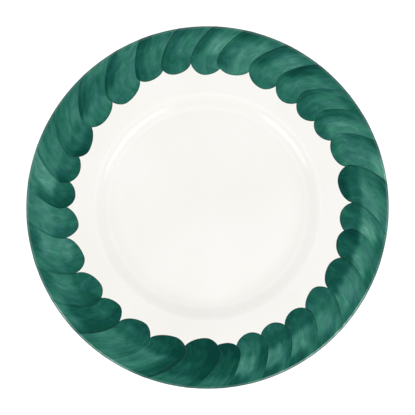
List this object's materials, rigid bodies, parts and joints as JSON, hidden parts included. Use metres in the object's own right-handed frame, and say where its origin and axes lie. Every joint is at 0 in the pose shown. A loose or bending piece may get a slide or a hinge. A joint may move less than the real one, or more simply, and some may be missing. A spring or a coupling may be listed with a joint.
{
  "type": "dinner plate",
  "caption": "Round glazed dinner plate with a flat well, a wide sloping rim painted all round with leaning green brush strokes, and a foot ring.",
  "frame": {"origin": "on the plate's axis, in the plane that the foot ring stands on", "axes": "+Z is the plate's axis, up out of the well; +Y is twelve o'clock of the painted rim and +X is three o'clock, seen from above"},
  "size_m": [0.27, 0.27, 0.0245],
  "materials": {
    "white_glaze": "gloss",
    "green_pale": "gloss",
    "green_mid": "gloss",
    "green_deep": "gloss"
  },
  "bodies": {
    "root": {"plate_body": "white_glaze", "rim_stroke_01": "green_mid", "rim_stroke_02": "green_pale", "rim_stroke_03": "green_mid", "rim_stroke_04": "green_mid", "rim_stroke_05": "green_mid", "rim_stroke_06": "green_mid", "rim_stroke_07": "green_pale", "rim_stroke_08": "green_deep", "rim_stroke_09": "green_mid", "rim_stroke_10": "green_deep", "rim_stroke_11": "green_deep", "rim_stroke_12": "green_pale", "rim_stroke_13": "green_mid", "rim_stroke_14": "green_mid", "rim_stroke_15": "green_mid", "rim_stroke_16": "green_deep", "rim_stroke_17": "green_deep", "rim_stroke_18": "green_deep", "rim_stroke_19": "green_mid", "rim_stroke_20": "green_deep", "rim_stroke_21": "green_deep", "rim_stroke_22": "green_pale", "rim_stroke_23": "green_pale", "rim_stroke_24": "green_mid", "rim_stroke_25": "green_mid", "rim_stroke_26": "green_deep", "rim_stroke_27": "green_pale", "rim_stroke_28": "green_pale", "rim_stroke_29": "green_mid", "rim_stroke_30": "green_mid"}
  },
  "joints": []
}
